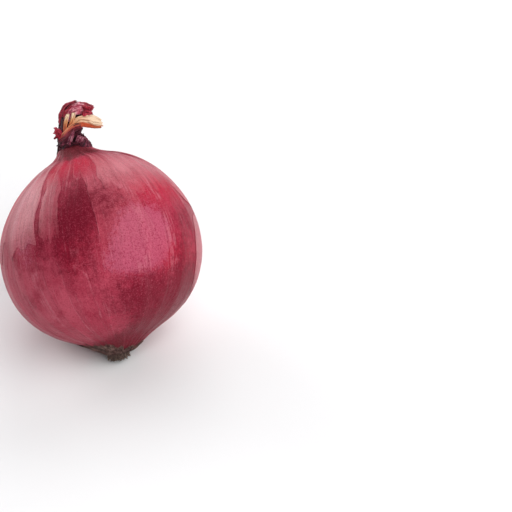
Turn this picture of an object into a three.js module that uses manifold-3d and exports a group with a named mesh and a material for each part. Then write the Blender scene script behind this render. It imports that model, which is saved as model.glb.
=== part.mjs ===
// A whole red onion with its dried neck and roots, lying on its flank as a loose onion does.
// It is drawn about the bulb's own axis: +Z from the roots to the neck, -Y to the front.
// The finished group then leans, so that row +Z is up and the origin is the middle of the
// small flat spot that carries it. Every length is in millimetres and every angle in degrees.
import * as THREE from "three";
import { mergeVertices } from "three/addons/utils/BufferGeometryUtils.js";
import Module from "manifold-3d";

const wasm = await Module();
wasm.setup();

// Driving dimensions
const bulbRadius = 40; // half the width across the bulb
const leanBack = 33; // the neck's lean away from the front
const leanLeft = 11.5; // the neck's lean to the left
const restSpotDepth = 0.45; // how far the flat spot is let into the flank
const clearance = 0.3; // between neighbouring pieces
const floorClearance = 0.15; // under the lowest root
const finestDetail = 0.08; // anything smaller is smoothed away on the neck, the leaf end and the roots

// The bulb: how far its skin is from its centre, as a share of bulbRadius, by degrees from the neck.
// It draws up into a skirt round the neck, and down into a low cone round the roots.
const bulbProfile = [
  [0, 1.13],
  [4, 1.11],
  [8.5, 1.064],
  [11.7, 1.026],
  [15, 1.003],
  [19, 0.994],
  [30, 0.99],
  [45, 0.985],
  [60, 0.985],
  [78, 0.994],
  [100, 1],
  [117, 0.998],
  [130, 0.985],
  [141, 0.968],
  [153, 0.952],
  [160, 0.962],
  [165, 0.985],
  [169, 1.01],
  [173, 1.038],
  [180, 1.046],
];
const bulbSteps = { around: 72, down: 38, crowding: 0.19 }; // closer rings at the neck and the roots
const ribs = { count: 24, height: 0.25, sharpness: 3, wander: 3, bends: 3, slant: 2 };
const lobes = { pairs: 0.006, threes: 0.004, fullerShoulder: 0.01 }; // shares of the radius
const poleFading = 0.7; // ribs and lobes fade towards the neck and the roots
const neckOffset = -4; // the neck grows a little left of the bulb's middle
const neckReach = 24; // degrees from the neck within which the skin follows it there
const rootOffset = -0.5;
const rootReach = 35;
const tuftOffset = -1.6; // the roots sit a little further left than the cone they grow from

// The neck: its middle line, and its half width and half depth at even places along that line
const neckLine = [
  [-2.9, 0, 40],
  [-3, -0.2, 44.5],
  [-3, -0.4, 48.8],
  [-2.6, -0.5, 52.4],
  [-1.9, -0.7, 55.5],
  [0.7, -1, 57],
  [4.1, -1.2, 56.4],
  [7.2, -1.4, 55.3],
];
const neckHalfWidth = [6.6, 5, 4.1, 3.3, 2.7, 2.5, 2.3, 1.7];
const neckHalfDepth = [6.4, 4.6, 3.6, 3, 2.6, 2.3, 1.9, 1.2];
const neckCore = { sides: 14, steps: 14, pleats: 7, pleatDepth: 0.12, share: 0.9, twist: 50 };

// Dried skins round the neck. side and spread are angles round the neck line, with 0 to the
// right and -90 to the front. from and to are places along it, and lift is how far the skin
// stands off the neck at its start, middle and end.
const drySkins = [
  { side: 150, spread: 42, from: 0, to: 0.66, lift: [0.3, 0.3, 0.5], turn: 20, rag: 0.03 },
  { side: 66, spread: 42, from: 0, to: 0.5, lift: [0.3, 0.3, 0.5], turn: -10, rag: 0.04 },
  { side: -4, spread: 36, from: 0, to: 0.25, lift: [0.2, 0.3, 0.6], turn: -15, rag: 0.03 },
  { side: -62, spread: 30, from: 0, to: 0.3, lift: [0.3, 0.4, 0.8], turn: 12, rag: 0.04 },
  { side: -125, spread: 34, from: 0, to: 0.4, lift: [0.2, 0.3, 0.5], turn: 14, rag: 0.03 },
  { side: 186, spread: 24, from: 0.17, to: 0.31, lift: [0.1, 1.1, 2.2], turn: -6, rag: 0.05 },
  { side: -96, spread: 46, from: 0.38, to: 0.96, lift: [0.1, 0.5, 0.5], turn: 8, rag: 0.05 },
  { side: 168, spread: 42, from: 0.42, to: 0.98, lift: [0.1, 0.5, 0.6], turn: -6, rag: 0.04 },
  { side: 186, spread: 28, from: 0.46, to: 0.7, lift: [0.4, 0.8, 1.1], turn: 10, rag: 0.04 },
  { side: 90, spread: 46, from: 0.42, to: 0.92, lift: [0.1, 0.5, 0.7], turn: -6, rag: 0.04 },
];
const skinSheet = { along: 8, across: 5, thick: 0.9 };

// The straw-coloured leaf end: each blade by its long edges and any crease between them, from
// its foot in the neck to its tip. The broad flap is folded along its crease.
const strawBlades = [
  {
    along: 12,
    across: 4,
    rows: [
      [
        [-4.4, -3.2, 48.4], [-1.7, -4.6, 51.1], [1.6, -4.9, 53.1],
        [5.4, -4.7, 53.7], [8.3, -4.5, 53.1], [11, -4.6, 51],
      ],
      [
        [-3.7, -4.2, 47.9], [-1.3, -5.5, 50.2], [2.4, -6.3, 51.7],
        [5.6, -6.6, 50.7], [8, -6.4, 49.3], [11.5, -6, 48.4],
      ],
      [
        [-2.9, -3.6, 47.6], [-0.8, -4.7, 49], [3, -5.1, 49.4],
        [5.6, -5.2, 48.6], [7.6, -5.3, 48], [10, -5.4, 47.6],
      ],
    ],
  },
  {
    along: 7,
    across: 2,
    rows: [
      [[-5.7, -2.9, 47.6], [-4.5, -4.3, 51.4], [-3.4, -4.8, 53.9], [-2.1, -4.7, 56.1]],
      [[-3.9, -3.9, 47.8], [-3, -4.9, 51.3], [-2.1, -5.1, 53.5], [-1.2, -4.9, 55.8]],
    ],
  },
  {
    along: 7,
    across: 2,
    rows: [
      [[-4.2, -3.6, 48.2], [-2.1, -4.9, 51.7], [-0.8, -5.3, 53.8], [0.1, -5.2, 56]],
      [[-2.5, -4, 48.4], [-0.4, -5.3, 51.7], [0.9, -5.5, 53.6], [1.4, -5.3, 55.9]],
    ],
  },
];
const strawThick = 0.8;

// The roots: a low corky plate, as [radius, height from the bulb's middle], with dried rootlets
const rootPlate = {
  outline: [[0, -42.9], [3, -42.7], [3.8, -42.1], [4.3, -41.4], [4.8, -40.4], [4.8, -38], [0, -38]],
  around: 20,
  lumps: 5,
  lumpDepth: 0.06,
};
const rootlets = {
  count: 46,
  thick: 0.85,
  footSwell: 1.1,
  tipTaper: 0.35,
  wave: 0.3,
  sides: 4,
  steps: 2,
  shortest: 1.1,
  longest: 2.1,
  sunk: 0.9,
  seed: 7,
};
const rootletLean = { outwards: 0.3, sideways: 1.1 }; // at the rim, and at most round it
const strayRootlets = { beyond: 0.8, share: 0.4, lean: 1.1 }; // some near the rim stick out sideways

const radians = THREE.MathUtils.degToRad;
const toBack = new THREE.Vector3(0, 1, 0);
const toNeck = new THREE.Vector3(0, 0, 1);

// The value at a place on a smooth curve through [place, value] knots.
function through(knots, place) {
  const last = knots.length - 1;
  let i = 0;
  while (i < last - 1 && knots[i + 1][0] < place) i += 1;
  const slope = (a, b) => (knots[b][1] - knots[a][1]) / (knots[b][0] - knots[a][0]);
  const slopeAt = (n) => slope(Math.max(n - 1, 0), Math.min(n + 1, last));
  const span = knots[i + 1][0] - knots[i][0];
  const t = THREE.MathUtils.clamp((place - knots[i][0]) / span, 0, 1);
  const eased = t * t * (3 - 2 * t);
  const bow = span * (slopeAt(i) * t * (1 - t) ** 2 - slopeAt(i + 1) * t * t * (1 - t));
  return knots[i][1] * (1 - eased) + knots[i + 1][1] * eased + bow;
}

// Knots at even places, for a list of values.
const evenly = (values) => values.map((value, i) => [i / (values.length - 1), value]);

// A repeatable source of numbers from 0 to 1.
function seeded(seed) {
  let state = seed;
  return () => {
    state = (state * 1664525 + 1013904223) % 4294967296;
    return state / 4294967296;
  };
}

function solidOf(points, triangles) {
  return new wasm.Manifold(
    new wasm.Mesh({
      numProp: 3,
      vertProperties: new Float32Array(points.flatMap((p) => [p.x, p.y, p.z])),
      triVerts: new Uint32Array(triangles.flat()),
    }),
  );
}

function solidOfGeometry(geometry) {
  geometry.deleteAttribute("normal");
  geometry.deleteAttribute("uv");
  const merged = mergeVertices(geometry, 1e-4);
  return new wasm.Manifold(
    new wasm.Mesh({
      numProp: 3,
      vertProperties: merged.attributes.position.array,
      triVerts: new Uint32Array(merged.index.array),
    }),
  );
}

function geometryOf(solid) {
  const mesh = solid.getMesh();
  const geometry = new THREE.BufferGeometry();
  geometry.setAttribute("position", new THREE.BufferAttribute(mesh.vertProperties, 3));
  geometry.setIndex(new THREE.BufferAttribute(mesh.triVerts, 1));
  const faceted = geometry.toNonIndexed();
  faceted.computeVertexNormals();
  return faceted;
}

// The biggest body of a solid, so that a scrap cut loose is dropped.
const mainBody = (solid) => solid.decompose().sort((a, b) => b.volume() - a.volume())[0];

const fused = (solids) => solids.reduce((whole, piece) => whole.add(piece));

// A closed solid over rings of points that turn anticlockwise about the way they travel.
function loft(rings) {
  const n = rings[0].length;
  const points = rings.flat();
  const triangles = [];
  for (let i = 0; i < rings.length - 1; i += 1)
    for (let j = 0; j < n; j += 1) {
      const [a, b] = [i * n + j, i * n + ((j + 1) % n)];
      triangles.push([a, b, b + n], [a, b + n, a + n]);
    }
  const middle = (ring) => ring.reduce((sum, p) => sum.add(p), new THREE.Vector3()).divideScalar(n);
  const start = points.push(middle(rings[0])) - 1;
  const end = points.push(middle(rings.at(-1))) - 1;
  const lastRing = (rings.length - 1) * n;
  for (let j = 0; j < n; j += 1) {
    const k = (j + 1) % n;
    triangles.push([start, k, j], [end, lastRing + j, lastRing + k]);
  }
  return solidOf(points, triangles);
}

// A closed sheet of one thickness over a surface(along, across), both from 0 to 1. The two
// faces are split into triangles alike.
function sheet(surface, along, across, thick) {
  const nudge = 0.01;
  const point = (u, v) => new THREE.Vector3(...surface(u, v));
  const faces = { top: [], under: [] };
  for (let i = 0; i <= along; i += 1)
    for (let j = 0; j <= across; j += 1) {
      const [u, v] = [i / along, j / across];
      const alongWay = point(Math.min(u + nudge, 1), v).sub(point(Math.max(u - nudge, 0), v));
      const acrossWay = point(u, Math.min(v + nudge, 1)).sub(point(u, Math.max(v - nudge, 0)));
      const out = alongWay.cross(acrossWay).setLength(thick / 2);
      faces.top.push(point(u, v).add(out));
      faces.under.push(point(u, v).sub(out));
    }
  const under = faces.top.length;
  const at = (i, j) => i * (across + 1) + j;
  const triangles = [];
  for (let i = 0; i < along; i += 1)
    for (let j = 0; j < across; j += 1) {
      const [a, b, c, d] = [at(i, j), at(i + 1, j), at(i + 1, j + 1), at(i, j + 1)];
      triangles.push([a, b, c], [a, c, d]);
      triangles.push([a + under, c + under, b + under], [a + under, d + under, c + under]);
    }
  const rim = [];
  for (let i = 0; i < along; i += 1) rim.push(at(i, 0));
  for (let j = 0; j < across; j += 1) rim.push(at(along, j));
  for (let i = along; i > 0; i -= 1) rim.push(at(i, across));
  for (let j = across; j > 0; j -= 1) rim.push(at(0, j));
  rim.forEach((a, i) => {
    const b = rim[(i + 1) % rim.length];
    triangles.push([a + under, b + under, b], [a + under, b, a]);
  });
  return solidOf([...faces.top, ...faces.under], triangles);
}

// The bulb's skin at an angle from the neck and an angle round it, or a stated way outside it.
function bulbPoint(fromNeck, around, outside = 0) {
  const { smoothstep, radToDeg } = THREE.MathUtils;
  const band = Math.sin(fromNeck) ** poleFading;
  const bend = Math.sin(ribs.bends * around + ribs.slant * fromNeck);
  const wandering = around + radians(ribs.wander) * bend;
  const crest = Math.abs(Math.cos((ribs.count / 2) * wandering)) ** ribs.sharpness;
  const rib = ribs.height * band * crest;
  const lobed =
    band * (lobes.pairs * Math.sin(2 * around) + lobes.threes * Math.sin(3 * around)) +
    lobes.fullerShoulder * Math.sin(2 * fromNeck) * Math.cos(around);
  const reach = bulbRadius * (through(bulbProfile, radToDeg(fromNeck)) + lobed) + rib + outside;
  const shift =
    neckOffset * (1 - smoothstep(fromNeck, 0, radians(neckReach))) +
    rootOffset * smoothstep(fromNeck, radians(180 - rootReach), Math.PI);
  return new THREE.Vector3(
    reach * Math.sin(fromNeck) * Math.cos(around) + shift,
    reach * Math.sin(fromNeck) * Math.sin(around),
    reach * Math.cos(fromNeck),
  );
}

function bulb(outside = 0) {
  const globe = new THREE.SphereGeometry(1, bulbSteps.around, bulbSteps.down).rotateX(Math.PI / 2);
  const place = globe.attributes.position;
  const p = new THREE.Vector3();
  for (let i = 0; i < place.count; i += 1) {
    p.fromBufferAttribute(place, i);
    const even = Math.acos(THREE.MathUtils.clamp(p.z, -1, 1));
    const fromNeck = even - bulbSteps.crowding * Math.sin(2 * even);
    const skin = bulbPoint(fromNeck, Math.atan2(p.y, p.x), outside);
    place.setXYZ(i, skin.x, skin.y, skin.z);
  }
  return solidOfGeometry(globe);
}

// The neck's middle line, with the ways to its right and to its back.
const neckCurve = new THREE.CatmullRomCurve3(neckLine.map((p) => new THREE.Vector3(...p)));
function neckFrame(along) {
  const u = THREE.MathUtils.clamp(along, 0, 1);
  const forward = neckCurve.getTangent(u);
  const back = toBack.clone().addScaledVector(forward, -forward.y).normalize();
  return { middle: neckCurve.getPoint(u), right: back.clone().cross(forward), back };
}

// A point round the neck line, at an angle, a stated way off its surface.
function neckPoint(along, angle, off, share = 1) {
  const { middle, right, back } = neckFrame(along);
  return middle
    .addScaledVector(right, (through(evenly(neckHalfWidth), along) * share + off) * Math.cos(angle))
    .addScaledVector(back, (through(evenly(neckHalfDepth), along) * share + off) * Math.sin(angle));
}

function neckBody() {
  const rings = [];
  for (let i = 0; i <= neckCore.steps; i += 1) {
    const along = i / neckCore.steps;
    const ring = [];
    for (let j = 0; j < neckCore.sides; j += 1) {
      const angle = (2 * Math.PI * j) / neckCore.sides;
      const twisted = angle + radians(neckCore.twist) * along;
      const pleat = 1 + neckCore.pleatDepth * Math.cos(neckCore.pleats * twisted);
      ring.push(neckPoint(along, angle, 0, neckCore.share * pleat));
    }
    rings.push(ring);
  }
  return loft(rings);
}

function drySkin(skin) {
  const surface = (u, v) => {
    const ragged = skin.rag * u * Math.cos(Math.PI * skinSheet.across * v);
    const along = skin.from + (skin.to - skin.from) * u + ragged;
    const angle = radians(skin.side + skin.spread * (1 - 2 * v) + skin.turn * u);
    return neckPoint(along, angle, through(evenly(skin.lift), u)).toArray();
  };
  return sheet(surface, skinSheet.along, skinSheet.across, skinSheet.thick);
}

// Rows of points over a blade, with its rim moved outwards by grow.
function grownRows(rows, grow) {
  const away = (p, inner) => p.clone().add(p.clone().sub(inner).setLength(grow));
  const points = rows.map((row) => row.map((p) => new THREE.Vector3(...p)));
  if (grow === 0) return points;
  const last = points.length - 1;
  const wider = points.map((row, r) => {
    if (r > 0 && r < last) return row;
    return row.map((p, i) => away(p, points[r === 0 ? 1 : last - 1][i]));
  });
  return wider.map((row) => [away(row[0], row[1]), ...row.slice(1, -1), away(row.at(-1), row.at(-2))]);
}

function strawBlade(blade, grow) {
  const curves = grownRows(blade.rows, grow).map((row) => new THREE.CatmullRomCurve3(row));
  const surface = (u, v) => {
    const place = v * (curves.length - 1);
    const row = Math.min(Math.floor(place), curves.length - 2);
    return curves[row].getPoint(u).lerp(curves[row + 1].getPoint(u), place - row).toArray();
  };
  return sheet(surface, blade.along, blade.across, strawThick + 2 * grow);
}

const strawLeaf = (grow = 0) => fused(strawBlades.map((blade) => strawBlade(blade, grow)));

function rootPlateBody() {
  const outline = rootPlate.outline.map((p) => new THREE.Vector2(...p));
  const plate = new THREE.LatheGeometry(outline, rootPlate.around).rotateX(Math.PI / 2);
  const place = plate.attributes.position;
  for (let i = 0; i < place.count; i += 1) {
    const [x, y] = [place.getX(i), place.getY(i)];
    const lump = 1 + rootPlate.lumpDepth * Math.cos(rootPlate.lumps * Math.atan2(y, x));
    place.setXY(i, x * lump + tuftOffset, y * lump);
  }
  return solidOfGeometry(plate);
}

// One rootlet: it leaves the plate at a share of its radius, downwards, leaning outwards and sideways.
function rootlet(spin, share, length, outwards, sideways) {
  const out = new THREE.Vector3(Math.cos(spin), Math.sin(spin), 0);
  const round = toNeck.clone().cross(out);
  const way = out.clone().multiplyScalar(outwards).addScaledVector(round, sideways).sub(toNeck).normalize();
  const foot = rootPlate.outline.slice(0, 4);
  const start = out.clone().multiplyScalar(share * foot.at(-1)[0]);
  start.add(new THREE.Vector3(tuftOffset, 0, through(foot, start.length())));
  start.addScaledVector(way, -rootlets.sunk);
  const turn = new THREE.Quaternion().setFromUnitVectors(toNeck, way);
  const rings = [];
  for (let i = 0; i <= rootlets.steps; i += 1) {
    const u = i / rootlets.steps;
    const middle = start.clone().addScaledVector(way, (length + rootlets.sunk) * u);
    middle.addScaledVector(round, rootlets.wave * Math.sin(3 * spin + 4 * u));
    const ring = [];
    for (let j = 0; j < rootlets.sides; j += 1) {
      const angle = (2 * Math.PI * j) / rootlets.sides + u;
      const half = (rootlets.thick / 2) * (rootlets.footSwell - rootlets.tipTaper * u);
      const offset = new THREE.Vector3(half * Math.cos(angle), half * Math.sin(angle), 0);
      ring.push(offset.applyQuaternion(turn).add(middle));
    }
    rings.push(ring);
  }
  return loft(rings);
}

function rootTuft() {
  const random = seeded(rootlets.seed);
  const pieces = [rootPlateBody()];
  const goldenTurn = Math.PI * (3 - Math.sqrt(5));
  for (let i = 0; i < rootlets.count; i += 1) {
    const share = Math.sqrt((i + 0.5) / rootlets.count);
    const length = THREE.MathUtils.lerp(rootlets.shortest, rootlets.longest, random());
    const strays = share > strayRootlets.beyond && random() < strayRootlets.share;
    const outwards = strays ? strayRootlets.lean : rootletLean.outwards * share;
    pieces.push(rootlet(i * goldenTurn, share, length, outwards, rootletLean.sideways * (random() - 0.5)));
  }
  return fused(pieces);
}

// The lean, and the bulb's lowest point in it, which the flat spot is cut round.
const lean = new THREE.Euler(-radians(leanBack), -radians(leanLeft), 0);
function lowestPoint() {
  const lowest = new THREE.Vector3(0, 0, Infinity);
  for (let fromNeck = 120; fromNeck <= 180; fromNeck += 0.5)
    for (let around = 0; around < 360; around += 1) {
      const p = bulbPoint(radians(fromNeck), radians(around)).applyEuler(lean);
      if (p.z < lowest.z) lowest.copy(p);
    }
  return lowest;
}
const onionPlace = lowestPoint().negate().sub(new THREE.Vector3(0, 0, restSpotDepth));

// Everything below the floor, or a stated way above it, as a block in the bulb's own frame.
function underFloor(above = 0) {
  const side = 4 * bulbRadius;
  const block = new THREE.BoxGeometry(side, side, side).translate(0, 0, above - side / 2);
  const intoBulb = new THREE.Matrix4().makeRotationFromEuler(lean).setPosition(onionPlace).invert();
  return solidOfGeometry(block.applyMatrix4(intoBulb));
}

const skinColour = new THREE.MeshStandardMaterial({ color: 0x8e1f3a, roughness: 0.35, metalness: 0 });
const neckColour = new THREE.MeshStandardMaterial({ color: 0x7a2435, roughness: 0.6, metalness: 0 });
const strawColour = new THREE.MeshStandardMaterial({ color: 0xdcb083, roughness: 0.7, metalness: 0 });
const rootColour = new THREE.MeshStandardMaterial({ color: 0x8b7460, roughness: 0.9, metalness: 0 });

function piece(name, solid, material) {
  const mesh = new THREE.Mesh(geometryOf(mainBody(solid)), material);
  mesh.name = name;
  return mesh;
}

const bulbOutside = bulb(clearance);
const strawPocket = strawLeaf(clearance);
const neckSolid = fused([...drySkins.map(drySkin), neckBody()]).subtract(bulbOutside).subtract(strawPocket);
const rootSolid = rootTuft().subtract(bulbOutside).subtract(underFloor(floorClearance));

const onion = new THREE.Group();
onion.rotation.copy(lean);
onion.position.copy(onionPlace);
onion.add(
  piece("bulb", bulb().subtract(underFloor()), skinColour),
  piece("dry_neck", neckSolid.asOriginal().simplify(finestDetail), neckColour),
  piece("straw_leaf", strawLeaf().subtract(bulbOutside).asOriginal().simplify(finestDetail), strawColour),
  piece("root_tuft", rootSolid.asOriginal().simplify(finestDetail), rootColour),
);

export default onion;
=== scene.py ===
import math
from itertools import product

import bpy
import numpy as np
from mathutils import Matrix, Vector


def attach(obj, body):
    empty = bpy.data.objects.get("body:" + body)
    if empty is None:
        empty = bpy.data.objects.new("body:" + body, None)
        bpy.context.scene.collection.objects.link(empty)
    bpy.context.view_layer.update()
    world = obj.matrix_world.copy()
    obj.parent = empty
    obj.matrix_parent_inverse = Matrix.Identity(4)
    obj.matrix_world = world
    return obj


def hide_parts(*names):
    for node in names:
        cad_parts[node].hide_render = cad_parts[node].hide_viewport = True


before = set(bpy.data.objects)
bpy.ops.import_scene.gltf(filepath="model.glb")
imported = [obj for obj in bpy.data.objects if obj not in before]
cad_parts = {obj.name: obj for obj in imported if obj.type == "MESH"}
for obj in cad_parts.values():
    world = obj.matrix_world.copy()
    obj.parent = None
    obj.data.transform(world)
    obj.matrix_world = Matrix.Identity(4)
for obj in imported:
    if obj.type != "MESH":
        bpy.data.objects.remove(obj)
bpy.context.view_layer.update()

# The onion is worked out about the bulb's own axis, in millimetres, with +Z towards the neck
# and -Y to the front. Each piece's points then take the lean that lays it on its flank.
mm = 0.001
lying = {"leanBack": 33, "leanLeft": 11.5, "middle": (1.6311, -3.2020, 38.2944)}
leanTurn = Matrix.Rotation(math.radians(-lying["leanBack"]), 3, "X") @ Matrix.Rotation(
    math.radians(-lying["leanLeft"]), 3, "Y"
)


# A smooth curve through (place, value) knots
def through(knots, place):
    places, values = np.array(knots, float).T
    last = len(places) - 1
    place = np.asarray(place, float)
    i = np.clip(np.searchsorted(places, place) - 1, 0, last - 1)
    before = np.maximum(np.arange(last + 1) - 1, 0)
    after = np.minimum(np.arange(last + 1) + 1, last)
    slope = (values[after] - values[before]) / (places[after] - places[before])
    span = places[i + 1] - places[i]
    t = np.clip((place - places[i]) / span, 0, 1)
    eased = t * t * (3 - 2 * t)
    bow = span * (slope[i] * t * (1 - t) ** 2 - slope[i + 1] * t * t * (1 - t))
    return values[i] * (1 - eased) + values[i + 1] * eased + bow


def evenly(values):
    return [(i / (len(values) - 1), value) for i, value in enumerate(values)]


def smoothstep(value, low, high):
    t = np.clip((value - low) / (high - low), 0, 1)
    return t * t * (3 - 2 * t)


# A smooth curve in space through evenly numbered points
def curveThrough(points, u):
    p = np.array(points, float)
    count = len(p)
    p = np.vstack([2 * p[0] - p[1], p, 2 * p[-1] - p[-2]])
    place = np.clip(np.asarray(u, float), 0, 1) * (count - 1)
    i = np.minimum(place.astype(int), count - 2)
    t = (place - i)[..., None]
    a, b, c, d = p[i], p[i + 1], p[i + 2], p[i + 3]

    def gap(q, r):
        return np.sum((q - r) ** 2, -1, keepdims=True) ** 0.25

    first, middle, final = gap(b, a), gap(c, b), gap(d, c)
    slopeB = ((b - a) / first - (c - a) / (first + middle) + (c - b) / middle) * middle
    slopeC = ((c - b) / middle - (d - b) / (middle + final) + (d - c) / final) * middle
    cubic = 2 * b - 2 * c + slopeB + slopeC
    square = 3 * c - 3 * b - 2 * slopeB - slopeC
    return cubic * t**3 + square * t**2 + slopeB * t + b


# Repeatable soft noise from -1 to 1 at points in space, with bumps about size across
def softNoise(points, size, seed, layers=1):
    total, weight = 0, 1
    for layer in range(layers):
        lattice = np.random.default_rng(seed + layer).uniform(-1, 1, (32, 32, 32))
        spot = np.asarray(points, float) / (size / 2**layer) + 7.3 * layer
        cell = np.floor(spot).astype(int)
        part = spot - cell
        part = part * part * (3 - 2 * part)
        value = 0
        for corner in product((0, 1), repeat=3):
            share = np.prod(np.where(corner, part, 1 - part), axis=-1)
            at = (cell + corner) % 32
            value = value + share * lattice[at[..., 0], at[..., 1], at[..., 2]]
        total = total + value * weight
        weight *= 0.5
    return total


# The same along one line, for torn edges
def edgeNoise(place, size, seed, layers=1):
    place = np.asarray(place, float)
    return softNoise(np.stack([place, 0 * place, 0 * place], -1), size, seed, layers)


def addObject(name, data):
    made = bpy.data.objects.new(name, data)
    bpy.context.scene.collection.objects.link(made)
    return made


floorBend = 0.04


# Adds a piece from its (points, faces, fields), laid on the onion's flank. Anything that would
# be below the floor is pressed up to it, over a soft bend.
def addPiece(name, shape, material, nodes):
    points, faces, fields = shape
    laid = points @ np.array(leanTurn).T + np.array(lying["middle"])
    laid[:, 2] = 0.5 * (laid[:, 2] + np.hypot(laid[:, 2], floorBend))
    mesh = bpy.data.meshes.new(name)
    mesh.from_pydata((laid * mm).tolist(), [], faces)
    for key, values in fields.items():
        mesh.attributes.new(key, "FLOAT", "POINT").data.foreach_set("value", values)
    mesh.polygons.foreach_set("use_smooth", [True] * len(mesh.polygons))
    mesh.materials.append(material)
    piece = addObject(name, mesh)
    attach(piece, "root")
    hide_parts(*nodes)


# The quads of a grid of rows and columns, closed round its columns or not
def gridFaces(rows, columns, closed=False):
    across = np.arange(columns if closed else columns - 1)
    i, j = np.meshgrid(np.arange(rows - 1), across, indexing="ij")
    k = (j + 1) % columns
    corners = [i * columns + j, (i + 1) * columns + j, (i + 1) * columns + k, i * columns + k]
    return np.stack([c.ravel() for c in corners], -1).tolist()


# A tube of rings, with a fan at each end round one of the two points that follow them
def tubeFaces(rows, columns, flipped=False):
    faces = gridFaces(rows, columns, closed=True)
    lastRing, first, last = (rows - 1) * columns, rows * columns, rows * columns + 1
    for j in range(columns):
        k = (j + 1) % columns
        faces.append([first, j, k])
        faces.append([last, lastRing + k, lastRing + j])
    return [face[::-1] for face in faces] if flipped else faces


# A closed thin sheet over surface(along, across). It thins towards its edges.
def sheetMesh(surface, along, across, thick, crumple=0, crumpleSize=2, seed=1, fibreSeed=None):
    u, v = np.meshgrid(np.linspace(0, 1, along + 1), np.linspace(0, 1, across + 1), indexing="ij")
    middle = surface(u, v)
    out = np.cross(np.gradient(middle, axis=0), np.gradient(middle, axis=1))
    out /= np.linalg.norm(out, axis=-1, keepdims=True) + 1e-9
    if crumple:
        middle = middle + out * (crumple * softNoise(middle, crumpleSize, seed, 3))[..., None]
    rim = np.minimum.reduce([u, 1 - u, v, 1 - v])
    half = (thick / 2 * (0.35 + 0.65 * smoothstep(rim, 0, 0.12)))[..., None]
    points = np.concatenate([middle + out * half, middle - out * half]).reshape(-1, 3)
    top = gridFaces(along + 1, across + 1)
    under = (along + 1) * (across + 1)
    faces = top + [[a + under for a in reversed(face)] for face in top]
    at = np.arange(under).reshape(along + 1, across + 1)
    edge = np.concatenate([at[:-1, 0], at[-1, :-1], at[:0:-1, -1], at[0, :0:-1]]).tolist()
    for a, b in zip(edge, edge[1:] + edge[:1]):
        faces.append([a, a + under, b + under, b])
    fields = {"along": np.tile(u.ravel(), 2), "across": np.tile(v.ravel(), 2), "rim": np.tile(rim.ravel(), 2)}
    if fibreSeed is not None:
        fields["seed"] = np.full(len(points), fibreSeed)
    return points, faces, fields


# Joins several (points, faces, fields) into one
def joined(parts):
    faces, first = [], 0
    for points, partFaces, _ in parts:
        faces += [[a + first for a in face] for face in partFaces]
        first += len(points)
    fields = {key: np.concatenate([part[2][key] for part in parts]) for key in parts[0][2]}
    return np.concatenate([part[0] for part in parts]), faces, fields


# add() makes a shader node, and a socket passed in is linked
def nodeTools(tree):
    def add(kind, settings=None, **inputs):
        node = tree.nodes.new("ShaderNode" + kind)
        for key, value in (settings or {}).items():
            setattr(node, key, value)
        for key, value in inputs.items():
            plug(node.inputs[key.replace("_", " ")], value)
        return node

    def plug(socket, value):
        if isinstance(value, bpy.types.NodeSocket):
            tree.links.new(value, socket)
        else:
            socket.default_value = value

    return add, plug


def startMaterial(name):
    material = bpy.data.materials.new(name)
    material.use_nodes = True
    material.node_tree.nodes.clear()
    return material, *nodeTools(material.node_tree)


# Ends a material with a shader of this colour, roughness and gloss over a bump of this height
def finishMaterial(add, colour, roughness, gloss, height, bumpStrength):
    bump = add("Bump", Height=height, Strength=bumpStrength, Distance=mm)
    shader = add("BsdfPrincipled", Base_Color=colour, Roughness=roughness, Normal=bump.outputs[0])
    shader.inputs["Specular IOR Level"].default_value = gloss
    add("OutputMaterial", Surface=shader.outputs[0])
    return shader


def shaderTools(add, plug):
    # Places on the onion as it was worked out: millimetres about the bulb's own axis
    back = leanTurn.transposed()
    onionPlace = add("Mapping", Vector=add("TexCoord").outputs["Object"])
    onionPlace.inputs["Location"].default_value = -(back @ Vector(lying["middle"]))
    onionPlace.inputs["Rotation"].default_value = back.to_euler("XYZ")
    onionPlace.inputs["Scale"].default_value = (1000, 1000, 1000)

    def calc(operation, *values):
        node = add("Math", {"operation": operation})
        for socket, value in zip(node.inputs, values):
            plug(socket, value)
        return node.outputs[0]

    def noise(place, scale, detail=3, roughness=0.55, distortion=0):
        node = add("TexNoise", Vector=place, Scale=scale, Detail=detail, Roughness=roughness)
        node.inputs["Distortion"].default_value = distortion
        return node.outputs[0]

    def fitted(value, low, high, toLow=0, toHigh=1):
        node = add("MapRange", {"interpolation_type": "SMOOTHSTEP"}, Value=value)
        node.inputs[1].default_value, node.inputs[2].default_value = low, high
        node.inputs[3].default_value, node.inputs[4].default_value = toLow, toHigh
        return node.outputs[0]

    def ramp(value, stops):
        node = add("ValToRGB", Fac=value)
        elements = node.color_ramp.elements
        while len(elements) < len(stops):
            elements.new(0.5)
        for element, (place, colour) in zip(elements, stops):
            element.position = place
            element.color = (*colour, 1)
        return node.outputs[0]

    def mixed(share, first, second, how="MIX"):
        node = add("Mix", {"data_type": "RGBA", "blend_type": how})
        plug(node.inputs[0], share)
        for socket, value in ((node.inputs[6], first), (node.inputs[7], second)):
            plug(socket, (*value, 1) if isinstance(value, tuple) else value)
        return node.outputs[2]

    def field(name):
        return add("Attribute", {"attribute_name": name}).outputs["Fac"]

    # Fibres that run along a sheet: so many across it and so many along it
    def fibres(across, along, distortion):
        x = calc("MULTIPLY", field("across"), across)
        y = calc("MULTIPLY", field("along"), along)
        return noise(add("CombineXYZ", X=x, Y=y, Z=field("seed")).outputs[0], 1, 3, 0.65, distortion)

    return onionPlace.outputs[0], calc, noise, fitted, ramp, mixed, field, fibres


# Camera and framing
print("camera, lights and floor")
view = {
    "height": 33, "distance": 568.9, "right": 61.8, "up": -2.0, "lens": 100, "sensor": 36, "clipStart": 0.01,
}


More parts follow.
